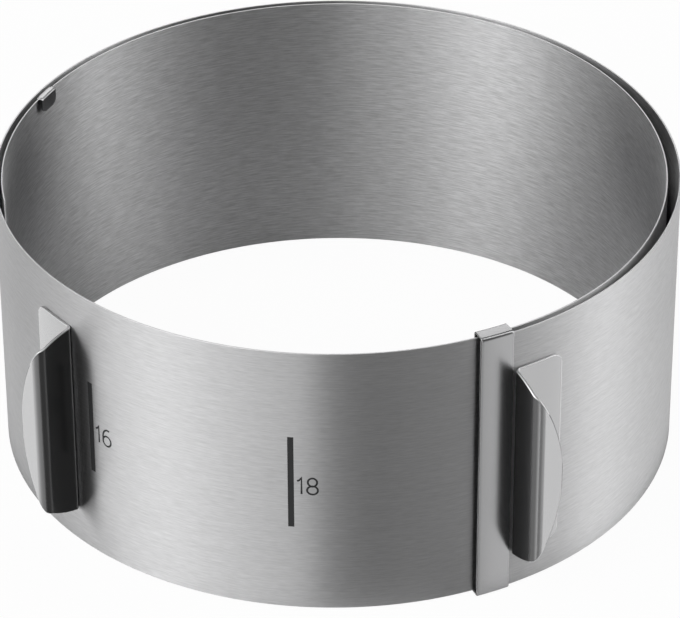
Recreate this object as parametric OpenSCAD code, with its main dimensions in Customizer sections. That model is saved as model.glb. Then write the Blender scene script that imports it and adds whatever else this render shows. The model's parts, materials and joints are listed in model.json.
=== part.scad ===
/* Adjustable cake ring: one long spring strip wound on itself, with an end clip,
   two pinch handles and a rim hook. Millimetres, +Z up. The ring stands on z = 0 and
   the middle of its footprint is at x = 0, y = 0. The front, with the scale, faces -Y.
   The strip is drawn as short rigid links with upright hinge lines between them. */

/* [Strip] */
// Length of the whole strip, from the outer end to the inner tail
strip_len = 1052; // [1046:1:1058]
// Height of the strip
strip_h = 85; // [75:1:95]
// Thickness of the strip
strip_t = 0.5; // [0.45:0.01:0.52]
// Length of the first link, which carries the clip and the right handle
first_len = 65; // [64.8:0.05:65.2]
// Length of each of the links between the first and the last
link_len = 62.07; // [61.9:0.01:62.2]
// Radius of the hinge nose is half the strip less this
nose_relief = 0.01; // [0.005:0.005:0.02]
// Clearance between a hinge nose and its seat
seat_clear = 0.03; // [0.02:0.005:0.04]

/* [Ring] */
// Radius of the middle of the wound strip at the stored setting
mid_r = 97.55; // [97:0.05:98.5]
// Half of the total inward drift of the strip, which keeps its layers apart
layer_drift = 1.7; // [1.6:0.05:2]
// Direction of the clip's free edge, turned from the front toward +X
clip_dir = 22.9; // [18:0.1:26]

/* [Clip] */
// Width of the end clip along the strip
clip_w = 9.8; // [8:0.1:10.5]
// Thickness of the clip sheet
clip_t = 0.6; // [0.5:0.05:0.8]
// Clearance between the strip edges and the clip's folds
edge_clear = 0.2; // [0.15:0.05:0.4]
// Depth of the clip's channel, from the outer face of the outer layer inward
channel = 3.9; // [3.9:0.05:4.4]
// Height of the clip's inner lips
lip_h = 6; // [4:0.5:12]
// Chamfer on the clip's folds
fold_chamfer = 0.4; // [0.2:0.05:0.5]

/* [Handles] */
// Height of each handle at its base
handle_h = 62; // [50:1:64]
// Middle height of the handles above the ring's underside
handle_z = 43; // [40:0.5:46]
// Thickness of the handle sheet
handle_t = 0.8; // [0.6:0.05:1]
// Width of the base plate that lies on the strip
base_w = 16; // [14:0.5:16.5]
// Corner radius of the base plate
base_corner = 3.5; // [2:0.5:6]
// How far the tab stands out from the strip before it bends back
tab_reach = 11; // [10:0.5:15]
// Height of each handle at the bend before its lip
bend_h = 53; // [48:1:56]
// Width of the lip, from the tab's face to the lip's tip
lip_w = 8.8; // [8:0.2:11]
// Inside radius of the bends
bend_r = 0.8; // [0.5:0.1:1.2]
// Gap in which a welded sheet lies on the strip
weld_gap = 0.02; // [0.01:0.01:0.04]
// Distance along the strip from the outer end to the right handle's fold
right_at = 10.2; // [10.1:0.1:12]
// Distance along the strip from the outer end to the left handle's fold
left_at = 496.4; // [495:0.1:497]

/* [Rim hook] */
// Distance along the strip from the outer end to the hook's middle
hook_at = 990; // [985:0.5:991.5]
// Length of the hook along the rim
hook_w = 8; // [5:0.5:8]
// Thickness of the hook sheet
hook_t = 0.5; // [0.4:0.05:0.6]
// Gap between the strip's inner face and the hook's hanging leg
hook_gap = 0.9; // [0.6:0.05:1.2]
// How far the leg hangs below the rim
hook_drop = 4.5; // [3.5:0.5:6]
// Corner radius of the leg
hook_corner = 2; // [1:0.25:2.4]

/* [Scale] */
// Smallest ring size on the scale, at the first mark
size_min = 160; // [159:0.5:161]
// Step in ring size from one mark to the next
size_step = 20; // [10:1:20]
// Length of a scale mark
mark_h = 30; // [20:1:40]
// Width of a scale mark
mark_w = 1.7; // [1:0.1:2]
// Depth of a scale mark
mark_deep = 0.05; // [0.03:0.01:0.1]
// Height of the middle of the marks above the ring's underside
mark_z = 43.4; // [38:0.1:48]

/* [View] */
// Which piece to draw
// Facets of round faces
$fn = 96; // [48:24:144]

/* [Hidden] */
shift_x = -0.499;
shift_y = 0.381;
strip_z = clip_t + edge_clear;
lap = 0.05;
top_z = strip_z + strip_h;
nose_r = strip_t / 2 - nose_relief;
seat_r = nose_r + seat_clear;
steel = [0.78, 0.79, 0.8];
dull = [0.62, 0.63, 0.65];

/* Where the strip is. u is the distance along it from the outer end. */
function drift(u) = layer_drift * (1 - 2 * u / strip_len);
function rad(u) = mid_r + drift(u);
function dir(u) = clip_dir
    + strip_len / (2 * layer_drift) * ln(rad(0) / rad(u)) * 180 / PI;
function pt(u) = [rad(u) * sin(dir(u)), -rad(u) * cos(dir(u))];
function edge(i) = i == 0 ? 0 : (i == 17 ? strip_len : first_len + (i - 1) * link_len);
function angle_of(v) = atan2(v[1], v[0]);
function turn(a) = a < 0 ? a + 360 : a;

/* Link i lies between edges i - 1 and i, on an arc through both. */
function p0(i) = pt(edge(i - 1));
function p1(i) = pt(edge(i));
function rho(i) = (rad(edge(i - 1)) + rad(edge(i))) / 2;
function chord(i) = norm(p1(i) - p0(i));
function side(i) = [-(p1(i) - p0(i))[1], (p1(i) - p0(i))[0]] / chord(i);
function centre(i) = (p0(i) + p1(i)) / 2
    + side(i) * sqrt(pow(rho(i), 2) - pow(chord(i) / 2, 2));
function from(i) = angle_of(p0(i) - centre(i));
function sweep(i) = turn(angle_of(p1(i) - centre(i)) - from(i));
function at(i, u) = from(i) + sweep(i) * (u - edge(i - 1)) / (edge(i) - edge(i - 1));
function deg(i, len) = len / rho(i) * 180 / PI;

module place() {
  translate([shift_x, shift_y, 0]) children();
}

/* Puts +X outward through the strip at u on link i; the strip's middle is at x = rho. */
module on(i, u) {
  translate([centre(i)[0], centre(i)[1], 0]) rotate([0, 0, at(i, u)]) children();
}

/* A curved plate on link i, from u to u + len, r outward of the strip's middle. */
module curved(i, u, len, r, t, z, h) {
  on(i, u) rotate_extrude(angle = deg(i, len))
    translate([rho(i) + r, z]) square([t, h]);
}

/* Scale mark on link i. */
module mark(i) {
  size = size_min + (i - 9) * size_step;
  curved(i, PI * size - mark_w / 2, mark_w, strip_t / 2 - mark_deep, strip_t,
    mark_z - mark_h / 2, mark_h);
}

/* One link: a curved plate with a round nose at its start and a round seat at its end. */
module link(i) {
  difference() {
    intersection() {
      union() {
        curved(i, edge(i - 1), edge(i) - edge(i - 1), -strip_t / 2, strip_t, 0, top_z + 1);
        if (i > 1) translate([p0(i)[0], p0(i)[1], 0])
          cylinder(r = nose_r, h = top_z + 1, $fn = 24);
      }
      translate([-2 * mid_r, -2 * mid_r, strip_z]) cube([4 * mid_r, 4 * mid_r, strip_h]);
    }
    if (i < 17) translate([p1(i)[0], p1(i)[1], strip_z - 1])
      cylinder(r = seat_r, h = strip_h + 2, $fn = 24);
    children();
  }
}

module strip_01() {
  color(steel) place() link(1);
}

module strip_02() {
  color(steel) place() link(2);
}

module strip_03() {
  color(steel) place() link(3);
}

module strip_04() {
  color(steel) place() link(4);
}

module strip_05() {
  color(steel) place() link(5);
}

module strip_06() {
  color(steel) place() link(6);
}

module strip_07() {
  color(steel) place() link(7);
}

module strip_08() {
  color(steel) place() link(8);
}

module strip_09() {
  color(steel) place() link(9) mark(9);
}

module strip_10() {
  color(steel) place() link(10) mark(10);
}

module strip_11() {
  color(steel) place() link(11) mark(11);
}

module strip_12() {
  color(steel) place() link(12) mark(12);
}

module strip_13() {
  color(steel) place() link(13) mark(13);
}

module strip_14() {
  color(steel) place() link(14) mark(14);
}

module strip_15() {
  color(steel) place() link(15) mark(15);
}

module strip_16() {
  color(steel) place() link(16) mark(16);
}

module strip_17() {
  color(steel) place() link(17);
}

/* The clip's section, from the outer face of the outer layer: x inward is negative. */
module clip_section() {
  far = clip_t + weld_gap;
  deep = channel + clip_t;
  tall = top_z + clip_t + edge_clear;
  c = fold_chamfer;
  polygon([
    [weld_gap, clip_t], [weld_gap, tall - clip_t],
    [-channel, tall - clip_t], [-channel, tall - clip_t - lip_h],
    [-deep, tall - clip_t - lip_h], [-deep, tall - c], [-deep + c, tall],
    [far - c, tall], [far, tall - c], [far, c], [far - c, 0],
    [-deep + c, 0], [-deep, c], [-deep, clip_t + lip_h],
    [-channel, clip_t + lip_h], [-channel, clip_t]]);
}

/* Folded over both edges of the strip; the inner layers slide through it. */
module end_clip() {
  color(steel) place() on(1, 0) rotate_extrude(angle = deg(1, clip_w))
    translate([rho(1) + strip_t / 2, 0]) clip_section();
}

/* A plate w wide and h high with two round corners at its far side, drawn in XY. */
module rounded_end(w, h, r) {
  square([w - r, h]);
  translate([0, r]) square([w, h - 2 * r]);
  translate([w - r, r]) circle(r);
  translate([w - r, h - r]) circle(r);
}

/* Flat part of the lip. The half moon's edge is one arc on the tab and one on the lip.
   The tab's arc comes down to the bend's height a little past the bend. */
arc_lap = 0.2;
lip_len = lip_w - bend_r - handle_t;
lip_r = (pow(bend_h / 2, 2) + pow(lip_len, 2)) / (2 * lip_len);
tab_deep = tab_reach + bend_r + handle_t + arc_lap;
tab_back = (pow(handle_h, 2) - pow(bend_h, 2)) / (8 * tab_deep) - tab_deep / 2;
tab_r = sqrt(pow(handle_h / 2, 2) + pow(tab_back, 2));

/* Section of the handle's sheet in plan: base plate, fold, tab, bend and lip. */
module handle_section(skin, reach) {
  outer = bend_r + handle_t;
  intersection() {
    difference() {
      circle(skin + handle_t);
      circle(skin);
    }
    translate([0, outer - lap]) square([skin + outer, base_w + handle_t]);
  }
  translate([skin + outer, outer]) quarter(180);
  translate([skin + outer, 0]) square([reach - outer, handle_t]);
  translate([skin + reach, outer]) quarter(270);
  translate([skin + reach + bend_r, outer]) square([handle_t, lip_len]);
}

/* A quarter of the bend, turned by a. */
module quarter(a) {
  outer = bend_r + handle_t;
  rotate(a) intersection() {
    difference() {
      circle(outer);
      circle(bend_r);
    }
    square(outer);
  }
}

/* Pinch handle on link i with its fold at u; way is 1 or -1, the side of the base plate. */
module handle(i, u, way) {
  skin = rho(i) + strip_t / 2 + weld_gap;
  outer = bend_r + handle_t;
  low = handle_z - handle_h / 2;
  deep = tab_reach + outer;
  on(i, u) mirror([0, way > 0 ? 0 : 1, 0]) difference() {
    intersection() {
      translate([0, 0, low - 1]) linear_extrude(handle_h + 2)
        handle_section(skin, tab_reach);
      union() {
        /* The outline of the base plate, seen from the front. */
        translate([skin - outer, 0, low]) rotate([90, 0, 90]) linear_extrude(2 * outer)
          translate([-outer, 0]) rounded_end(base_w + outer, handle_h, base_corner);
        /* The half moon of the tab. */
        intersection() {
          translate([skin - tab_back, 2 * base_w, handle_z]) rotate([90, 0, 0])
            cylinder(r = tab_r, h = 3 * base_w);
          translate([skin + outer, -base_w, low]) cube([deep, 3 * base_w, handle_h]);
        }
      }
    }
    /* The half moon goes on round the lip. */
    difference() {
      translate([skin + tab_reach, outer, low - 2])
        cube([2 * outer, 2 * base_w, handle_h + 4]);
      translate([skin, lip_w - lip_r, handle_z]) rotate([0, 90, 0])
        cylinder(r = lip_r, h = 3 * deep);
    }
  }
}

module right_handle() {
  color(dull) place() handle(1, right_at, 1);
}

module left_handle() {
  color(dull) place() handle(8, left_at, -1);
}

/* Welded on the rim of the inner tail, with a leg that hangs inside the ring. */
module rim_hook() {
  color(dull) place() on(16, hook_at - hook_w / 2) {
    rotate_extrude(angle = deg(16, hook_w))
      translate([rho(16) - strip_t / 2 - hook_gap - hook_t, top_z + weld_gap])
      square([hook_t + hook_gap + strip_t, hook_t]);
    intersection() {
      rotate_extrude(angle = deg(16, hook_w))
        translate([rho(16) - strip_t / 2 - hook_gap - hook_t, top_z - hook_drop - 1])
        square([hook_t, hook_drop + 1 + weld_gap + hook_t]);
      translate([rho(16) - 20, 0, top_z - hook_drop]) rotate([90, 0, 90])
        linear_extrude(40) rounded_foot(hook_w, hook_drop + 2, hook_corner);
    }
  }
}

/* A plate w wide and h high with two round lower corners. */
module rounded_foot(w, h, r) {
  translate([0, r]) square([w, h - r]);
  translate([r, 0]) square([w - 2 * r, h]);
  translate([r, r]) circle(r);
  translate([w - r, r]) circle(r);
}

strip_01();
strip_02();
strip_03();
strip_04();
strip_05();
strip_06();
strip_07();
strip_08();
strip_09();
strip_10();
strip_11();
strip_12();
strip_13();
strip_14();
strip_15();
strip_16();
strip_17();
end_clip();
right_handle();
left_handle();
rim_hook();
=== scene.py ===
import json
import math

import bmesh
import bpy
import numpy as np
from mathutils import Matrix, Vector

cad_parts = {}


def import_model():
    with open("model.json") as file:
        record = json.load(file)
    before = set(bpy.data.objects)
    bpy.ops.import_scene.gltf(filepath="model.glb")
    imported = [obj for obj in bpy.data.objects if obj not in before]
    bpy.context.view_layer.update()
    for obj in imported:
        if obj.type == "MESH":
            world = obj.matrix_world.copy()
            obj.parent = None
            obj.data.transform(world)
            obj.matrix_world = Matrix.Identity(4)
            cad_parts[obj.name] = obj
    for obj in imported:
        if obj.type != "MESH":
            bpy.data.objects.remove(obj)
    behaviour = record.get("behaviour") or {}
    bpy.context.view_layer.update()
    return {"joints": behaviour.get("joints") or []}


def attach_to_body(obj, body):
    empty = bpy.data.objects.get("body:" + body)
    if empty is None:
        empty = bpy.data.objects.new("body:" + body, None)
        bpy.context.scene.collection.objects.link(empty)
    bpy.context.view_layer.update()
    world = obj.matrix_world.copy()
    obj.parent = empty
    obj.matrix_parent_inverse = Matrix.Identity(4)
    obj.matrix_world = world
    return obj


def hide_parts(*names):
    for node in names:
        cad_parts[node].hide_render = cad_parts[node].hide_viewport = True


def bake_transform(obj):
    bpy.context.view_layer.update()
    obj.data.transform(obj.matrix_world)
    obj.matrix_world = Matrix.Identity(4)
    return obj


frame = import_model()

# Sizes in millimetres, as in the part's source. u is the distance along the strip from
# its outer end.
MM = 0.001
WELD = 0.02             # gap in which a welded sheet lies on the strip

# Strip
LINKS = 17
STRIP_LEN = 1052.0
STRIP_H = 85.0
STRIP_T = 0.5
FIRST = 65.0            # length of link 1
LINK = 62.07            # length of each of the links between the first and the last
MID_R = 97.55
DRIFT = 1.7
CLIP_DIR = math.radians(22.9)
SHIFT = np.array([-0.499, 0.381])

# End clip
CLIP_T = 0.6
CLIP_W = 9.8
EDGE_CLEAR = 0.2
CHANNEL = 3.9
CLIP_LIP_H = 6.0
CLIP_FOLD_R = 0.75
STRIP_Z = CLIP_T + EDGE_CLEAR
TOP_Z = STRIP_Z + STRIP_H

# Handles
RIGHT_AT = 10.2
LEFT_AT = 496.4
HANDLE_H = 62.0
HANDLE_Z = 43.0
HANDLE_T = 0.8
BASE_W = 16.0
BASE_CORNER = 3.5
TAB_REACH = 11.0
BEND_H = 53.0
LIP_W = 8.8
BEND_R = 0.8
ARC_LAP = 0.2           # how far past the bend the tab's arc comes down to its height
SOFT_R = 2.6            # middle radius of the bend, which looks softer than the fold
LIP_END_Z = 8.0         # half height where the lip's arc ends
LIP_TIP_Z = 3.0         # half height of the straight at its tip

# Rim hook
HOOK_AT = 990.0
HOOK_W = 8.0
HOOK_T = 0.5
HOOK_GAP = 0.9
HOOK_DROP = 4.5
HOOK_CORNER = 2.0
HOOK_FOLD_R = 0.45

# Scale
SIZE_MIN = 160
SIZE_MAX = 300
SIZE_STEP = 20
MARK_H = 30.0
MARK_W = 1.7
MARK_Z = 43.4
MARK_LIFT = 0.02        # how far the marks stand proud of the strip
DIGIT_H = 5.4
DIGIT_W = 0.78          # from one numeral to the next, in numeral heights
ONE_W = 0.6             # the same after a 1
DIGIT_GAP = 0.25        # between a bar and its number
DIGIT_DROP = 1.1        # how far a number's middle is below its bar's
STROKE = 0.56

# The strip's inner layer hangs inward on the right, as in the photograph.
SLACK_FROM = 633.0
SLACK_TO = 836.0
SLACK_MOST = 1.8


# The strip's line
def edge(i):
    """Where link i ends, as u."""
    if i == 0:
        return 0.0
    return STRIP_LEN if i == LINKS else FIRST + (i - 1) * LINK


def rad(u):
    return MID_R + DRIFT * (1 - 2 * u / STRIP_LEN)


def turn(u):
    return CLIP_DIR + STRIP_LEN / (2 * DRIFT) * math.log(rad(0) / rad(u))


def out_at(u):
    """Outward direction of the strip at u."""
    a = turn(u)
    return np.array([math.sin(a), -math.cos(a)])


def along_at(u):
    """Direction of growing u."""
    a = turn(u)
    return np.array([math.cos(a), math.sin(a)])


def slack(u):
    """How far the strip hangs inward at u."""
    share = (u - SLACK_FROM) / (SLACK_TO - SLACK_FROM)
    return SLACK_MOST * math.sin(math.pi * share) ** 2 if 0 < share < 1 else 0.0


def line(u):
    """Middle of the strip at u, seen from above."""
    return out_at(u) * (rad(u) - slack(u)) + SHIFT


def link_frame(i, u):
    """Centre and radius of link i's arc, and its outward and along directions at u."""
    a, b = (out_at(edge(k)) * rad(edge(k)) for k in (i - 1, i))
    rho = (rad(edge(i - 1)) + rad(edge(i))) / 2
    chord = np.linalg.norm(b - a)
    side = np.array([-(b - a)[1], (b - a)[0]]) / chord
    centre = (a + b) / 2 + side * math.sqrt(rho * rho - chord * chord / 4)
    a0 = math.atan2(*(a - centre)[::-1])
    a1 = math.atan2(*(b - centre)[::-1])
    if a1 < a0:
        a1 += 2 * math.pi
    t = a0 + (a1 - a0) * (u - edge(i - 1)) / (edge(i) - edge(i - 1))
    out = np.array([math.cos(t), math.sin(t)])
    return centre + SHIFT, rho, out, np.array([-out[1], out[0]])


def on_link(i, u, x, z):
    """The point at u and height z that is x outward from the middle of link i's arc."""
    centre, rho, out, _ = link_frame(i, u)
    return (*(centre + out * (rho + x)), z)


# Mesh helpers
SAME_POINT = 1e-6               # metres
BEVEL_FROM = math.radians(50)   # edges that turn more than this are rounded
SHARP_FROM = math.radians(48)   # and those that still do more than this look sharp
FACE_WEIGHT = 80                # how much large faces rule the normals


def obj_from(name, verts, faces, material, uvs=None, normals=None):
    """An object of vertices in millimetres, with smooth faces."""
    mesh = bpy.data.meshes.new(name)
    mesh.from_pydata([tuple(float(c) * MM for c in v) for v in verts], [], faces)
    mesh.update()
    if uvs is not None:
        layer = mesh.uv_layers.new(name="UVMap")
        for loop in mesh.loops:
            layer.data[loop.index].uv = uvs[loop.vertex_index]
    mesh.polygons.foreach_set("use_smooth", [True] * len(mesh.polygons))
    if normals is not None:
        mesh.normals_split_custom_set_from_vertices([tuple(n) for n in normals])
    obj = bpy.data.objects.new(name, mesh)
    bpy.context.scene.collection.objects.link(obj)
    mesh.materials.append(material)
    return obj


def apply_modifiers(obj):
    bpy.context.view_layer.update()
    deps = bpy.context.evaluated_depsgraph_get()
    mesh = bpy.data.meshes.new_from_object(obj.evaluated_get(deps))
    obj.modifiers.clear()
    old = obj.data
    obj.data = mesh
    bpy.data.meshes.remove(old)


def sheet(name, rows, thickness, bevel, material, uv_rows, rims=(), rim_at=None):
    """A bent sheet: rows of mid-surface points, given thickness and rounded edges.
    rims are materials for the cut edges, and rim_at(x, y) says which, counted from 1."""
    n = len(rows[0])
    verts = [p for row in rows for p in row]
    faces = []
    for i in range(len(rows) - 1):
        for j in range(n - 1):
            a = i * n + j
            faces.append((a, a + 1, a + n + 1, a + n))
    uvs = [c for row in uv_rows for c in row]
    obj = obj_from(name, verts, faces, material, uvs=uvs)
    bm = bmesh.new()
    bm.from_mesh(obj.data)
    bmesh.ops.remove_doubles(bm, verts=bm.verts, dist=SAME_POINT)
    bm.to_mesh(obj.data)
    bm.free()
    solid = obj.modifiers.new("thickness", "SOLIDIFY")
    solid.thickness = thickness * MM
    solid.offset = 0
    solid.use_even_offset = True
    rounding = obj.modifiers.new("edges", "BEVEL")
    rounding.width = bevel * MM
    rounding.segments = 2
    rounding.limit_method = "ANGLE"
    rounding.angle_limit = BEVEL_FROM
    rounding.harden_normals = False
    if rims:
        for rim in rims:
            obj.data.materials.append(rim)
        solid.material_offset_rim = 1
        rounding.material = 1
        rounding.use_clamp_overlap = False
    apply_modifiers(obj)
    for face in obj.data.polygons:
        if face.material_index:
            face.material_index = rim_at(face.center.x / MM, face.center.y / MM)
    obj.data.polygons.foreach_set("use_smooth", [True] * len(obj.data.polygons))
    obj.data.set_sharp_from_angle(angle=SHARP_FROM)
    weighted = obj.modifiers.new("normals", "WEIGHTED_NORMAL")
    weighted.keep_sharp = True
    weighted.weight = FACE_WEIGHT
    apply_modifiers(obj)
    return obj


# Node helpers
def node(tree, kind, **settings):
    """A new node, with inputs or properties set by name."""
    n = tree.nodes.new(kind)
    for key, value in settings.items():
        if key in n.inputs:
            n.inputs[key].default_value = value
        else:
            setattr(n, key, value)
    return n


def feed(tree, entry, value):
    """Let a node's input follow an output, or set it to a fixed value."""
    if isinstance(value, bpy.types.NodeSocket):
        tree.links.new(value, entry)
    else:
        entry.default_value = value


def calc(tree, operation, a, b):
    n = node(tree, "ShaderNodeMath", operation=operation)
    feed(tree, n.inputs[0], a)
    feed(tree, n.inputs[1], b)
    return n.outputs[0]


def map_range(tree, value, source, target=(0.0, 1.0)):
    """value, with the range source stretched to the range target and cut off there."""
    n = node(tree, "ShaderNodeMapRange")
    for key, number in zip(("From Min", "From Max", "To Min", "To Max"), (*source, *target)):
        n.inputs[key].default_value = number
    tree.links.new(value, n.inputs["Value"])
    return n.outputs["Result"]


def mix_values(tree, share, a, b):
    n = node(tree, "ShaderNodeMix", data_type="FLOAT")
    feed(tree, n.inputs["Factor"], share)
    feed(tree, n.inputs["A"], a)
    feed(tree, n.inputs["B"], b)
    return n.outputs["Result"]


def mix_colours(tree, share, a, b, blend="MIX"):
    n = node(tree, "ShaderNodeMix", data_type="RGBA", blend_type=blend)
    feed(tree, n.inputs["Factor"], share)
    feed(tree, n.inputs["A"], a)
    feed(tree, n.inputs["B"], b)
    return n.outputs["Result"]


def mix_shaders(tree, share, a, b):
    n = tree.nodes.new("ShaderNodeMixShader")
    tree.links.new(share, n.inputs["Fac"])
    tree.links.new(a, n.inputs[1])
    tree.links.new(b, n.inputs[2])
    return n.outputs["Shader"]


def ramp(tree, value, stops):
    """Greys over value, as (place from 0 to 1, brightness) stops."""
    n = tree.nodes.new("ShaderNodeValToRGB")
    elements = n.color_ramp.elements
    while len(elements) < len(stops):
        elements.new(0.5)
    for element, (place, light) in zip(elements, stops):
        element.position = place
        element.color = (light, light, light, 1)
    tree.links.new(value, n.inputs["Fac"])
    return n.outputs["Color"]


# Materials
# Noise of the steel: grains a metre along U and along V, detail and roughness
FINE = (260, 3000, 2.0, 0.6)
LONG = (60, 1300, 2.0, 0.5)
SCRATCHES = (150, 2400, 3.0, 0.7)
SMUDGES = (9, 14, 3.0, 0.55)
SPREAD = 0.2            # how far from a half the noise is used
SCRATCH_SPREAD = 0.14
BUMP = 1.5              # strength of the grain's bump, for each unit of streak
BUMP_HEIGHT = 0.02
QUARTER_TURN = 0.25     # stretches the highlights across the grain
INSIDE_V = 300.0        # how far the strip's inner face lies above its outer face in V
PAINTED_SHADE_REACH = 50.0       # length along the sheet that the painted shade covers
LONG_SHARE = 0.35       # of the long grain in the lines
LINES_SHARE = 0.3       # of the lines in the scratches
SMUDGE_SHARE = 0.4      # of the smudges in the roughness


def noise(tree, uv, kind, grain=1.0):
    along, across, detail, roughness = kind
    mapping = node(tree, "ShaderNodeMapping")
    mapping.inputs["Scale"].default_value = (along * grain, across * grain, 1)
    tree.links.new(uv, mapping.inputs["Vector"])
    n = node(tree, "ShaderNodeTexNoise", Scale=1.0, Detail=detail, Roughness=roughness)
    n.noise_dimensions = "2D"
    tree.links.new(mapping.outputs["Vector"], n.inputs["Vector"])
    return n.outputs["Fac"]


def grained(tree, colour, much, lines, spread=SPREAD):
    """colour, darker and lighter along the lines by the share much."""
    dark = (*[c * (1 - much) for c in colour], 1)
    light = (*[min(1, c * (1 + much)) for c in colour], 1)
    return mix_colours(tree, map_range(tree, lines, (0.5 - spread, 0.5 + spread)), dark, light)


def steel(name, colour, rough, aniso, streak, grain=1.0, smudge=0.03, painted_shade=None,
          inside=None):
    """Steel with a fine grain along U. streak is how much the grain shows, inside the
    same on the strip's inner face, and the argument after smudge is painted shade along U,
    as (mm, share) stops that darken the colour."""
    mat = bpy.data.materials.new(name)
    mat.use_nodes = True
    tree = mat.node_tree
    tree.nodes.clear()
    out = tree.nodes.new("ShaderNodeOutputMaterial")
    bsdf = tree.nodes.new("ShaderNodeBsdfPrincipled")
    bsdf.inputs["Metallic"].default_value = 1.0
    bsdf.inputs["Anisotropic"].default_value = aniso
    bsdf.inputs["Anisotropic Rotation"].default_value = QUARTER_TURN
    tree.links.new(bsdf.outputs["BSDF"], out.inputs["Surface"])
    uv = node(tree, "ShaderNodeUVMap", uv_map="UVMap").outputs["UV"]
    place = tree.nodes.new("ShaderNodeSeparateXYZ")
    tree.links.new(uv, place.inputs["Vector"])

    lines = mix_values(tree, LONG_SHARE, noise(tree, uv, FINE, grain),
                       noise(tree, uv, LONG, grain))
    shade = grained(tree, colour, streak, lines)
    if inside:
        is_inner = calc(tree, "GREATER_THAN", place.outputs["Y"], INSIDE_V / 2 * MM)
        scratches = mix_values(tree, LINES_SHARE, noise(tree, uv, SCRATCHES), lines)
        inner = grained(tree, colour, inside, scratches, SCRATCH_SPREAD)
        shade = mix_colours(tree, is_inner, shade, inner)
    # Painted shade: the colour is multiplied by a ramp that darkens it along the sheet.
    if painted_shade:
        share = map_range(tree, place.outputs["X"], (0.0, PAINTED_SHADE_REACH * MM))
        painted_shades = ramp(tree, share, [(at / PAINTED_SHADE_REACH, light) for at, light in painted_shade])
        shade = mix_colours(tree, 1.0, shade, painted_shades, blend="MULTIPLY")
    tree.links.new(shade, bsdf.inputs["Base Color"])

    smudged = mix_values(tree, SMUDGE_SHARE, lines, noise(tree, uv, SMUDGES))
    roughness = map_range(tree, smudged, (0.5 - SPREAD, 0.5 + SPREAD),
                          (rough - smudge, rough + smudge))
    tree.links.new(roughness, bsdf.inputs["Roughness"])
    bump = node(tree, "ShaderNodeBump", Strength=BUMP * streak, Distance=BUMP_HEIGHT * MM)
    tree.links.new(lines, bump.inputs["Height"])
    tree.links.new(bump.outputs["Normal"], bsdf.inputs["Normal"])
    tangent = node(tree, "ShaderNodeTangent", direction_type="UV_MAP", uv_map="UVMap")
    tree.links.new(tangent.outputs["Tangent"], bsdf.inputs["Tangent"])
    return mat


def plain(name, colour, rough, metallic=0.0):
    mat = bpy.data.materials.new(name)
    mat.use_nodes = True
    bsdf = mat.node_tree.nodes["Principled BSDF"]
    bsdf.inputs["Base Color"].default_value = (*colour, 1)
    bsdf.inputs["Roughness"].default_value = rough
    bsdf.inputs["Metallic"].default_value = metallic
    return mat


def grey(light):
    """Steel grey, with a touch of blue."""
    return (light, light, light + 0.005)


# The handles' tabs look nearly black in the photograph, the base plate and the lip light.
# Painted shade: the tabs' colour is drawn dark, and the base plate's a little, standing in for
# the dark studio they mirror; each handle has its own.
LEFT_PAINTED_SHADE = [(0, 0.88), (15.0, 0.88), (16.2, 0.09), (20.5, 0.1), (24.3, 0.13),
             (25.5, 0.12), (26.9, 0.35), (28.4, 1.0)]
RIGHT_PAINTED_SHADE = [(0, 0.88), (15.0, 0.88), (16.2, 0.04), (20.5, 0.05), (23.0, 0.1),
              (24.6, 0.18), (26.2, 0.32), (27.1, 0.85), (27.8, 1.0)]


def handle_steel(name, painted_shade):
    return steel(name, grey(0.64), rough=0.25, aniso=0.2, streak=0.012, grain=1.5,
                 smudge=0.02, painted_shade=painted_shade)


def smooth_steel(name, light):
    return steel(name, grey(light), rough=0.24, aniso=0.4, streak=0.02, grain=1.5)


STRIP_STEEL = steel("brushed_strip", grey(0.62), rough=0.47, aniso=1.0, streak=0.10,
                    inside=0.17)
CLIP_STEEL = smooth_steel("smooth_clip", 0.47)
# Two copies of the handle steel that differ only in their painted shade.
LEFT_STEEL_PAINTED_SHADE = handle_steel("left_handle_painted_shade", LEFT_PAINTED_SHADE)
RIGHT_STEEL_PAINTED_SHADE = handle_steel("right_handle_painted_shade", RIGHT_PAINTED_SHADE)
# Painted shade: the hook's steel is drawn dark, for the shade inside the ring where it hangs.
HOOK_STEEL_PAINTED_SHADE = smooth_steel("hook_painted_shade", 0.2)
# Cut edges: the rims are smoother than the sheets and drawn lighter, a painted highlight; the
# lip's edge is drawn near black, a painted dark outline of shade.
RIM_POLISH_PAINTED_HIGHLIGHT = plain("rim_polish_painted_highlight", grey(0.68), rough=0.3, metallic=1.0)
EDGE_PAINTED_SHADE = plain("edge_painted_shade", grey(0.09), rough=0.4, metallic=1.0)
MARK_BLACK = plain("etched_black", (0.012, 0.012, 0.013), rough=0.5)

# The strip
JOINTS = {j["name"]: j for j in frame["joints"]}
EDGE_ROUND = 0.12       # rounding of the strip's cut edges
EDGE_HOLD = 0.5         # a row of points this far inside them keeps the faces flat
CUT_FACES = (4, 5, 6, 7, 13, 14, 15, 16)    # faces of the section that are cut
STEP = 1.55             # distance from one section to the next
TONGUE_LEN = 0.9
TONGUE_THIN = 0.04      # how much thinner than the strip a tongue is on each face
TONGUE_LOW = 0.05       # how far it ends inside the strip's edges


def hinge(k):
    return np.array(JOINTS[f"flex_{k:02d}"]["pos_m"]) / MM


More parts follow.
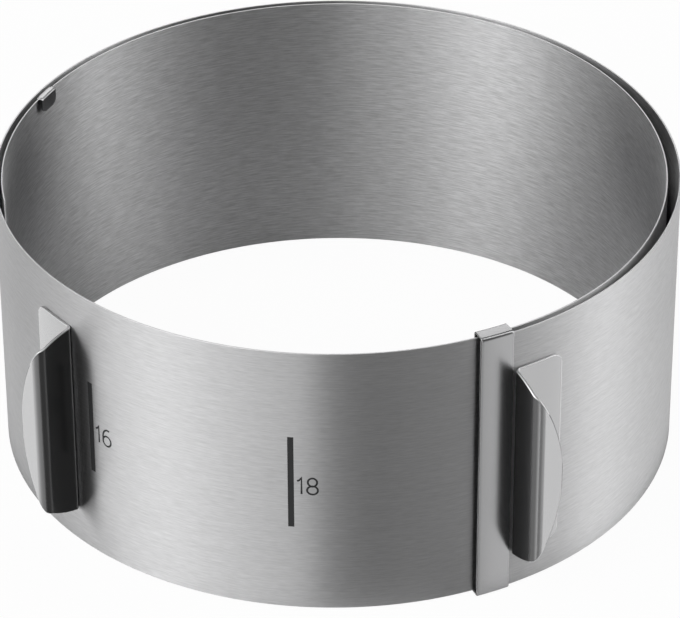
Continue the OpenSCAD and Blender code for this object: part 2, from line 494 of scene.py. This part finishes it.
def strip_section(half, z0, z1):
    """Profile of the strip: outward and up, and its normal outward and up."""
    b = EDGE_ROUND
    c = math.cos(math.radians(45))
    d = b * (1 - c)
    middle = (z0 + z1) / 2
    return [
        (half, z0 + b, 1, 0), (half, z0 + b + EDGE_HOLD, 1, 0), (half, middle, 1, 0),
        (half, z1 - b - EDGE_HOLD, 1, 0), (half, z1 - b, 1, 0),
        (half - d, z1 - d, c, c),
        (half - b, z1, 0, 1), (-half + b, z1, 0, 1),
        (-half + d, z1 - d, -c, c),
        (-half, z1 - b, -1, 0), (-half, z1 - b - EDGE_HOLD, -1, 0), (-half, middle, -1, 0),
        (-half, z0 + b + EDGE_HOLD, -1, 0), (-half, z0 + b, -1, 0),
        (-half + d, z0 + d, -c, -c),
        (-half + b, z0, 0, -1), (half - b, z0, 0, -1),
        (half - d, z0 + d, c, -c)]


def strip_piece(name, u0, u1, tongue):
    """One stretch of the strip, with a thin tongue that reaches into the next one."""
    full = strip_section(STRIP_T / 2, STRIP_Z, TOP_Z)
    slim = strip_section(STRIP_T / 2 - TONGUE_THIN, STRIP_Z + TONGUE_LOW, TOP_Z - TONGUE_LOW)
    steps = max(2, int(round((u1 - u0) / STEP)))
    stations = [(u0 + (u1 - u0) * k / steps, full) for k in range(steps + 1)]
    if tongue:
        stations += [(u1, slim), (u1 + TONGUE_LEN, slim)]
    verts, uvs, normals, faces = [], [], [], []
    n = len(full)
    for u, section in stations:
        base, out = line(u), out_at(u)
        for x, z, nx, nz in section:
            q = base + out * x
            verts.append((q[0], q[1], z))
            normals.append((out[0] * nx, out[1] * nx, nz))
            uvs.append((u * MM, (z + (0 if x > 0 else INSIDE_V)) * MM))
    for i in range(len(stations) - 1):
        for j in range(n):
            a, b = i * n + j, i * n + (j + 1) % n
            faces.append((a, a + n, b + n, b))
    faces.append(tuple(range(n)))
    faces.append(tuple(reversed(range((len(stations) - 1) * n, len(stations) * n))))
    obj = obj_from(name, verts, faces, STRIP_STEEL, uvs=uvs, normals=normals)
    # The cut faces get the rim material: smoother steel with a painted highlight.
    obj.data.materials.append(RIM_POLISH_PAINTED_HIGHLIGHT)
    for face in obj.data.polygons[:(len(stations) - 1) * n]:
        if face.index % n in CUT_FACES:
            face.material_index = 1
    return obj


def seg(k):
    return f"segment_{k:02d}"


def bend(obj, k, span):
    """Bakes obj's transform into its mesh; nothing bends it about hinge k. span is not used.
    """
    p, t = hinge(k), along_at(edge(k))
    seg(k)
    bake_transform(obj)


def attach(obj, kind, k, span):
    """For a hinge, obj only has its transform baked; otherwise it goes along with body k."""
    if kind == "hinge":
        bend(obj, k, span)
    else:
        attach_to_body(obj, seg(k))


HALF = LINK / 2


def mid(k):
    """Middle of link k, as u, for the links of equal length."""
    return edge(k - 1) + HALF


# Over this span a bend has ended at the middle of the link.
SHORT = MID_R * math.sin(HALF / MID_R)
EVEN_SHARE = 0.18301    # (sqrt(3) - 1) / 4, of an even bend that half a link takes
# Over this one it is even along the link, and meets the next bend in line at the middle.
EVEN = SHORT / EVEN_SHARE / 2
END_RIGID = 27.0        # length under the clip and the right handle
END_SPAN = 36.9         # bend between the right handle and hinge 1
FOLD_SPAN = 8.0         # bend between a fitting and the next hinge
TAIL_FROM = edge(16) + HALF

# The strip's stretches: name, from, to, what it follows, the number of that hinge or
# body, and the bend's span. Link 9 lies under the outer end when the ring is closed, so
# its bends are short.
STRETCHES = [
    ("end", 0, END_RIGID, "body", 1, 0),
    ("after_end", END_RIGID, edge(1), "hinge", 1, END_SPAN),
    ("round_01", edge(1), mid(2), "hinge", 1, EVEN),
    *[(f"round_{k:02d}", mid(k), mid(k + 1), "hinge", k, EVEN) for k in range(2, 7)],
    ("round_07", mid(7), edge(7), "hinge", 7, EVEN),
    ("before_left", edge(7), mid(8), "hinge", 7, SHORT),
    ("under_left", mid(8), edge(8) - FOLD_SPAN, "body", 8, 0),
    ("left_fold", edge(8) - FOLD_SPAN, edge(8), "hinge", 8, FOLD_SPAN),
    ("scale_08", edge(8), mid(9), "hinge", 8, SHORT),
    ("scale_09a", mid(9), edge(9), "hinge", 9, SHORT),
    ("scale_09b", edge(9), mid(10), "hinge", 9, EVEN),
    *[(f"scale_{k:02d}", mid(k), mid(k + 1), "hinge", k, EVEN) for k in range(10, 15)],
    ("scale_15", mid(15), edge(15), "hinge", 15, EVEN),
    ("before_hook", edge(15), mid(16), "hinge", 15, SHORT),
    ("under_hook", mid(16), edge(16) - FOLD_SPAN, "body", 16, 0),
    ("hook_bend", edge(16) - FOLD_SPAN, edge(16), "hinge", 16, FOLD_SPAN),
    ("tail_bend", edge(16), TAIL_FROM, "hinge", 16, SHORT),
    ("tail", TAIL_FROM, STRIP_LEN, "body", 17, 0)]


def strip():
    """Each stretch, which replaces the nodes of the links whose middle it holds."""
    for name, u0, u1, kind, k, span in STRETCHES:
        obj = strip_piece("strip_" + name, u0, u1, tongue=name != "tail")
        attach(obj, kind, k, span)
        for i in range(1, LINKS + 1):
            if u0 <= (edge(i - 1) + edge(i)) / 2 < u1:
                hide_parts(f"strip_{i:02d}")


strip()


# Scale marks
def arc(cx, cy, rx, ry, a0, a1, n=18):
    """Points on an ellipse, from a0 to a1 degrees."""
    return [(cx + rx * math.cos(math.radians(a0 + (a1 - a0) * i / n)),
             cy + ry * math.sin(math.radians(a0 + (a1 - a0) * i / n)))
            for i in range(n + 1)]


# Centre lines of plain numerals, 1 high
NUMERALS = {
    "0": [arc(0.30, 0.5, 0.27, 0.5, 0, 360, 30)],
    "1": [[(0.12, 0.80), (0.24, 0.86), (0.34, 1.0), (0.34, 0.0)]],
    "2": [arc(0.30, 0.72, 0.26, 0.28, 165, -28) + [(0.04, 0.0), (0.58, 0.0)]],
    "3": [arc(0.28, 0.74, 0.25, 0.26, 150, -90), arc(0.28, 0.25, 0.29, 0.25, 90, -150, 20)],
    "4": [[(0.44, 0.0), (0.44, 1.0), (0.02, 0.30), (0.60, 0.30)]],
    "6": [arc(0.30, 0.30, 0.27, 0.30, 0, 360, 28),
          [(0.03, 0.30)] + arc(0.36, 0.52, 0.33, 0.48, 190, 68, 16)],
    "8": [arc(0.30, 0.745, 0.235, 0.255, 0, 360, 26),
          arc(0.30, 0.255, 0.275, 0.255, 0, 360, 28)]}
BAR_STEPS = 6
MITRE = 0.5             # least cosine that a ribbon's corner is widened for


def ribbon(points, width):
    """Flat ribbon round a centre line: left and right points."""
    pts = [np.array(p, float) for p in points]
    ways = [(b - a) / np.linalg.norm(b - a) for a, b in zip(pts[:-1], pts[1:])]
    left, right = [], []
    for i, p in enumerate(pts):
        a, b = ways[max(i - 1, 0)], ways[min(i, len(ways) - 1)]
        across = np.array([-(a + b)[1], (a + b)[0]])
        across = across / np.linalg.norm(across)
        widened = width / 2 / max(MITRE, across @ np.array([-a[1], a[0]]))
        left.append(p + across * widened)
        right.append(p - across * widened)
    return left, right


def stretch_at(u):
    """What the strip follows at u, its number and the span."""
    for _, u0, u1, kind, k, span in STRETCHES:
        if u0 <= u < u1:
            return kind, k, span
    raise ValueError(u)


def scale_mark(size):
    """The bar of one ring size and its number."""
    u_bar = math.pi * size
    verts, faces, normals = [], [], []

    def add(u, z):
        out = out_at(u)
        q = line(u) + out * (STRIP_T / 2 + MARK_LIFT)
        verts.append((q[0], q[1], z))
        normals.append((out[0], out[1], 0))
        return len(verts) - 1

    def band(left, right):
        for i in range(len(left) - 1):
            a, b = add(*left[i]), add(*left[i + 1])
            c, d = add(*right[i + 1]), add(*right[i])
            faces.append((a, d, c, b))

    bar = [MARK_Z - MARK_H / 2 + MARK_H * i / BAR_STEPS for i in range(BAR_STEPS + 1)]
    band([(u_bar - MARK_W / 2, z) for z in bar], [(u_bar + MARK_W / 2, z) for z in bar])
    x = u_bar + MARK_W / 2 + DIGIT_GAP
    foot = MARK_Z - DIGIT_DROP - DIGIT_H / 2
    for char in str(size // 10):
        for centre_line in NUMERALS[char]:
            points = [(x + px * DIGIT_H, foot + py * DIGIT_H) for px, py in centre_line]
            band(*ribbon(points, STROKE))
        x += (ONE_W if char == "1" else DIGIT_W) * DIGIT_H
    obj = obj_from(f"scale_mark_{size // 10}", verts, faces, MARK_BLACK, normals=normals)
    attach(obj, *stretch_at(u_bar))


for size in range(SIZE_MIN, SIZE_MAX + 1, SIZE_STEP):
    scale_mark(size)


# Folded paths
FOLD_STEPS = 6


def rounded_path(points, radius):
    """A polyline with its inner corners rounded."""
    pts = [np.array(p, float) for p in points]
    out = [pts[0]]
    for a, p, b in zip(pts[:-2], pts[1:-1], pts[2:]):
        da, db = (a - p) / np.linalg.norm(a - p), (b - p) / np.linalg.norm(b - p)
        half = math.acos(max(-1, min(1, float(da @ db)))) / 2
        cut = radius / math.tan(half)
        centre = p + (da + db) / np.linalg.norm(da + db) * radius / math.sin(half)
        s, e = p + da * cut - centre, p + db * cut - centre
        a0, a1 = math.atan2(s[1], s[0]), math.atan2(e[1], e[0])
        d = (a1 - a0 + math.pi) % (2 * math.pi) - math.pi
        for i in range(FOLD_STEPS + 1):
            t = a0 + d * i / FOLD_STEPS
            out.append(centre + radius * np.array([math.cos(t), math.sin(t)]))
    out.append(pts[-1])
    return out


def split_long(path, most):
    """The same path, with no step longer than most."""
    out = [path[0]]
    for a, b in zip(path[:-1], path[1:]):
        n = max(1, int(math.ceil(np.linalg.norm(b - a) / most)))
        out += [a + (b - a) * i / n for i in range(1, n + 1)]
    return out


def lengths(path):
    """Length along the path up to each of its points."""
    total = [0.0]
    for a, b in zip(path[:-1], path[1:]):
        total.append(total[-1] + float(np.linalg.norm(b - a)))
    return total


# End clip
CLIP_STEPS = 12
CLIP_LONGEST = 6.0
CLIP_BEVEL = 0.12


def end_clip():
    h = CLIP_T / 2
    x_out, x_in = STRIP_T / 2 + WELD + h, STRIP_T / 2 - CHANNEL - h
    low, high = h, TOP_Z + EDGE_CLEAR + h
    path = rounded_path([(x_in, low + h + CLIP_LIP_H), (x_in, low), (x_out, low),
                         (x_out, high), (x_in, high), (x_in, high - h - CLIP_LIP_H)],
                        CLIP_FOLD_R)
    path = split_long(path, CLIP_LONGEST)
    run = lengths(path)
    rows, uv = [], []
    for i in range(CLIP_STEPS + 1):
        u = CLIP_W * i / CLIP_STEPS
        rows.append([on_link(1, u, x, z) for x, z in path])
        uv.append([(u * MM, s * MM) for s in run])
    obj = sheet("end_clip_sheet", rows, CLIP_T, CLIP_BEVEL, CLIP_STEEL, uv)
    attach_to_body(obj, seg(1))
    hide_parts("end_clip")


end_clip()

# Handles
CORNER_DEGREES = (0, 30, 50, 70, 90)    # where the rows of the base plate's corners are
BASE_STEPS = 6
FOLD_ROWS = 8
TAB_ROWS = 7
BEND_ROWS = 12
LIP_ROWS = 10
HANDLE_COLUMNS = 12
HANDLE_BEVEL = 0.28
LIP_FACE = TAB_REACH + BEND_R + HANDLE_T / 2    # from the strip to the lip's mid-surface
LIP_EDGE_FROM = SOFT_R + 1                      # where the lip's painted dark edge begins


def handle_rows(skin):
    """Rows of a handle's sheet, from the base plate's far end to the lip's tip: outward
    from the centre of its link's arc, along the strip, and half the sheet's height there.
    skin is the radius that the base plate lies on."""
    half_t = HANDLE_T / 2
    outer = BEND_R + HANDLE_T
    deep = TAB_REACH + outer + ARC_LAP
    back = (HANDLE_H ** 2 - BEND_H ** 2) / (8 * deep) - deep / 2
    tab_r = math.sqrt((HANDLE_H / 2) ** 2 + back ** 2)
    lip = LIP_W - outer
    lip_r = ((BEND_H / 2) ** 2 + lip ** 2) / (2 * lip)

    def tab_half(x):
        return math.sqrt(tab_r ** 2 - (x + back) ** 2)

    def lip_half(y):
        return math.sqrt(max(0.0, lip_r ** 2 - (y - LIP_W + lip_r) ** 2))

    def lip_y(z):
        return LIP_W - lip_r + math.sqrt(lip_r ** 2 - z ** 2)

    corner = BASE_W - BASE_CORNER
    plate = []
    for degrees in CORNER_DEGREES:
        a = math.radians(degrees)
        plate.append((corner + BASE_CORNER * math.cos(a),
                      HANDLE_H / 2 - BASE_CORNER + BASE_CORNER * math.sin(a)))
    for k in range(1, BASE_STEPS + 1):
        plate.append((corner + (outer - corner) * k / BASE_STEPS, HANDLE_H / 2))
    rows = [(math.sqrt((skin + half_t) ** 2 - y * y), y, half) for y, half in plate]

    fold_r = BEND_R + half_t
    for k in range(1, FOLD_ROWS + 1):
        a = math.radians(90 * k / FOLD_ROWS)
        x, y = outer - fold_r * math.cos(a), outer - fold_r * math.sin(a)
        rows.append((skin + x, y, tab_half(x)))
    for k in range(1, TAB_ROWS + 1):
        x = outer + (LIP_FACE - SOFT_R - outer) * k / TAB_ROWS
        rows.append((skin + x, half_t, tab_half(x)))
    for k in range(1, BEND_ROWS + 1):
        a = math.radians(90 * k / BEND_ROWS)
        x = LIP_FACE - SOFT_R + SOFT_R * math.sin(a)
        y = half_t + SOFT_R - SOFT_R * math.cos(a)
        rows.append((skin + x, y, min(tab_half(x), lip_half(y))))
    lip_z = lip_half(half_t + SOFT_R)
    for k in range(1, LIP_ROWS + 1):
        z = lip_z + (LIP_END_Z - lip_z) * k / LIP_ROWS
        rows.append((skin + LIP_FACE, lip_y(z), z))
    rows.append((skin + LIP_FACE, lip_y(LIP_TIP_Z), LIP_TIP_Z))
    return rows


def handle(name, node_name, i, u, way, material):
    """Pinch handle on link i with its fold at u. way is 1 or -1, the side of its base
    plate and its lip."""
    centre, rho, out, along = link_frame(i, u)
    skin = rho + STRIP_T / 2 + WELD
    rows, uv = [], []
    run = 0.0
    before = None
    for x, y, half in handle_rows(skin):
        if before:
            run += math.hypot(x - before[0], y - before[1])
        before = (x, y)
        q = centre + out * x + along * (y * way)
        zs = [HANDLE_Z + half * (-1 + 2 * j / HANDLE_COLUMNS)
              for j in range(HANDLE_COLUMNS + 1)]
        rows.append([(q[0], q[1], z) for z in zs])
        uv.append([(run * MM, z * MM) for z in zs])

    def rim_at(x, y):
        """The lip's cut edge gets the painted dark outline, the tab's and the base plate's the
        painted highlight.
        """
        away = np.array([x, y]) - centre
        far_out = away @ out > skin + LIP_FACE - HANDLE_T
        return 1 if far_out and (away @ along) * way > LIP_EDGE_FROM else 2

    obj = sheet(name, rows, HANDLE_T, HANDLE_BEVEL, material, uv,
                [EDGE_PAINTED_SHADE, RIM_POLISH_PAINTED_HIGHLIGHT], rim_at)
    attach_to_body(obj, seg(i))
    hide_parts(node_name)


handle("right_pinch_handle", "right_handle", 1, RIGHT_AT, 1, RIGHT_STEEL_PAINTED_SHADE)
handle("left_pinch_handle", "left_handle", 8, LEFT_AT, -1, LEFT_STEEL_PAINTED_SHADE)

# Rim hook
HOOK_COLUMNS = 8
HOOK_LONGEST = 0.7
HOOK_BEVEL = 0.1


def rim_hook():
    h = HOOK_T / 2
    x_out, x_in = STRIP_T / 2, -STRIP_T / 2 - HOOK_GAP - h
    top, foot = TOP_Z + WELD + h, TOP_Z - HOOK_DROP
    path = rounded_path([(x_out, top), (x_in, top), (x_in, foot)], HOOK_FOLD_R)
    path = split_long(path, HOOK_LONGEST)
    rows, uv = [], []
    for (x, z), s in zip(path, lengths(path)):
        side = HOOK_W / 2
        if z < foot + HOOK_CORNER:
            d = foot + HOOK_CORNER - z
            side -= HOOK_CORNER - math.sqrt(max(0.0, HOOK_CORNER ** 2 - d * d))
        us = [HOOK_AT + side * (-1 + 2 * j / HOOK_COLUMNS) for j in range(HOOK_COLUMNS + 1)]
        rows.append([on_link(16, u, x, z) for u in us])
        uv.append([(u * MM, s * MM) for u in us])
    obj = sheet("rim_hook_sheet", rows, HOOK_T, HOOK_BEVEL, HOOK_STEEL_PAINTED_SHADE, uv)
    obj.data.materials.append(RIM_POLISH_PAINTED_HIGHLIGHT)
    for face in obj.data.polygons:
        if face.center.z > TOP_Z * MM:
            face.material_index = 1     # painted highlight: the fold over the rim is drawn bright
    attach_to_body(obj, seg(16))
    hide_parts("rim_hook")


rim_hook()

# Floor
WHITE = (1, 1, 1, 1)
FLOOR_HALF = 6.0                # metres
FLOOR_COLOUR = (0.8, 0.8, 0.8, 1)
FLOOR_WHITE = 0.96              # how much of the floor the camera sees as plain white
FLOOR_CLEAR = 0.9               # how much of it the steel's reflections leave out
FLOOR_FADE = (0.099, 0.106)     # metres from the middle where that sets in


def stage():
    """A pale floor. Inside the ring the steel mirrors it. Outside it mirrors mostly the
    studio, as if the floor weren't there."""
    mesh = bpy.data.meshes.new("floor")
    s = FLOOR_HALF
    mesh.from_pydata([(-s, -s, 0), (s, -s, 0), (s, s, 0), (-s, s, 0)], [], [(0, 1, 2, 3)])
    floor = bpy.data.objects.new("floor", mesh)
    bpy.context.scene.collection.objects.link(floor)
    mat = bpy.data.materials.new("floor")
    mat.use_nodes = True
    tree = mat.node_tree
    tree.nodes.clear()
    diffuse = node(tree, "ShaderNodeBsdfDiffuse", Color=FLOOR_COLOUR)
    glow = node(tree, "ShaderNodeEmission", Color=WHITE, Strength=1.0)
    clear = tree.nodes.new("ShaderNodeBsdfTransparent")
    ray = tree.nodes.new("ShaderNodeLightPath").outputs
    coord = tree.nodes.new("ShaderNodeTexCoord")
    away = node(tree, "ShaderNodeVectorMath", operation="LENGTH")
    tree.links.new(coord.outputs["Object"], away.inputs[0])
    outside = map_range(tree, away.outputs["Value"], FLOOR_FADE)
    glossy = calc(tree, "MULTIPLY", ray["Is Glossy Ray"], FLOOR_CLEAR)
    left_out = calc(tree, "MULTIPLY", glossy, outside)
    white = calc(tree, "MULTIPLY", ray["Is Camera Ray"], FLOOR_WHITE)
    seen = mix_shaders(tree, left_out, diffuse.outputs["BSDF"], clear.outputs["BSDF"])
    seen = mix_shaders(tree, white, seen, glow.outputs["Emission"])
    out = tree.nodes.new("ShaderNodeOutputMaterial")
    tree.links.new(seen, out.inputs["Surface"])
    mesh.materials.append(mat)


# Studio light all round: degrees from the front toward +X, and brightness. The low bands
# lie at the horizon and under it, the high ones above.
LOW_BANDS = [(-180, 0.9), (-136, 1.3), (-110, 1.0), (-93, 0.9), (-85, 0.82), (-74, 0.82),
             (-60, 0.75), (-48, 0.6), (-36, 0.78), (-20, 0.85), (-9.5, 0.95), (-7, 0.2),
             (14, 0.2), (26, 0.38), (44, 0.38), (53, 0.92), (74, 0.8), (96, 1.2),
             (120, 1.4), (150, 1.3), (180, 0.9)]
HIGH_BANDS = [(-180, 0.02), (-134, 0.04), (-118, 0.2), (-102, 0.85), (-86, 1.45),
              (-72, 2.5), (-56, 3.0), (-40, 1.8), (-24, 1.1), (-8, 0.85), (0, 0.4),
              (6, 0.33), (18, 0.27), (42, 0.1), (58, 0.06), (72, 0.6), (90, 2.3),
              (104, 1.35), (122, 0.22), (136, 0.04), (180, 0.02)]
LOW_TO_HIGH = (-0.05, 0.2)      # height of a direction where the low bands turn to high


def world():
    """The studio's bands, behind plain white for the camera."""
    studio = bpy.data.worlds.new("studio")
    bpy.context.scene.world = studio
    studio.use_nodes = True
    tree = studio.node_tree
    tree.nodes.clear()
    coord = tree.nodes.new("ShaderNodeTexCoord")
    way = tree.nodes.new("ShaderNodeSeparateXYZ")
    tree.links.new(coord.outputs["Generated"], way.inputs["Vector"])
    to_front = calc(tree, "MULTIPLY", way.outputs["Y"], -1)
    angle = calc(tree, "ARCTAN2", way.outputs["X"], to_front)
    share = map_range(tree, angle, (-math.pi, math.pi))
    low = ramp(tree, share, [((az + 180) / 360, light) for az, light in LOW_BANDS])
    high = ramp(tree, share, [((az + 180) / 360, light) for az, light in HIGH_BANDS])
    rise = map_range(tree, way.outputs["Z"], LOW_TO_HIGH)
    bands = node(tree, "ShaderNodeBackground", Strength=1.0)
    tree.links.new(mix_colours(tree, rise, low, high), bands.inputs["Color"])
    white = node(tree, "ShaderNodeBackground", Color=WHITE, Strength=1.0)
    path = tree.nodes.new("ShaderNodeLightPath")
    seen = mix_shaders(tree, path.outputs["Is Camera Ray"], bands.outputs["Background"],
                       white.outputs["Background"])
    out = tree.nodes.new("ShaderNodeOutputWorld")
    tree.links.new(seen, out.inputs["Surface"])


def area(name, place, target, size, power):
    """A soft light of size metres, at place and aimed at target."""
    light = bpy.data.lights.new(name, "AREA")
    light.shape = "RECTANGLE"
    light.size, light.size_y = size
    light.energy = power
    obj = bpy.data.objects.new(name, light)
    obj.location = place
    aim = Vector(target) - Vector(place)
    obj.rotation_mode = "QUATERNION"
    obj.rotation_quaternion = aim.to_track_quat("-Z", "Y")
    bpy.context.scene.collection.objects.link(obj)


# Camera, fitted to both rims in the photograph. Angles are in radians.
PHOTO_W = 680                   # pixels
FOCAL = 4090.0                  # pixels
SENSOR_W = 36
CAMERA_AWAY = 1200.0            # from the middle of the strip
PLACE_UP = 0.573997             # where the camera stands
PLACE_SIDE = 0.00199
LOOK_UP = 0.578649              # how it is turned
LOOK_SIDE = -0.003031
LOOK_ROLL = -0.004464
CLIP_RANGE = (0.01, 100)        # metres


def camera():
    data = bpy.data.cameras.new("camera")
    cam = bpy.data.objects.new("camera", data)
    bpy.context.scene.collection.objects.link(cam)
    place = np.array([-math.sin(PLACE_SIDE) * math.cos(PLACE_UP),
                      -math.cos(PLACE_SIDE) * math.cos(PLACE_UP),
                      math.sin(PLACE_UP)]) * CAMERA_AWAY
    place += np.array([SHIFT[0], SHIFT[1], STRIP_Z + STRIP_H / 2])
    back = Vector((math.sin(LOOK_SIDE) * math.cos(LOOK_UP),
                   -math.cos(LOOK_SIDE) * math.cos(LOOK_UP), math.sin(LOOK_UP)))
    level = Vector((math.cos(LOOK_SIDE), math.sin(LOOK_SIDE), 0))
    upright = back.cross(level)
    right = math.cos(LOOK_ROLL) * level + math.sin(LOOK_ROLL) * upright
    up = math.cos(LOOK_ROLL) * upright - math.sin(LOOK_ROLL) * level
    pose = Matrix((right, up, back)).transposed().to_4x4()
    pose.translation = Vector(place) * MM
    cam.matrix_world = pose
    data.sensor_width = SENSOR_W
    data.lens = FOCAL * SENSOR_W / PHOTO_W
    data.clip_start, data.clip_end = CLIP_RANGE
    bpy.context.scene.camera = cam


stage()
world()
area("top_soft", place=(0.1, 0.1, 1.4), target=(0, 0, 0), size=(1.0, 1.0), power=0.9)
area("back_soft", place=(0.0, 1.25, 0.85), target=(0, 0, 0.05), size=(0.6, 0.5), power=1.4)
camera()
bpy.context.scene.view_settings.view_transform = "Standard"

bpy.context.view_layer.update()
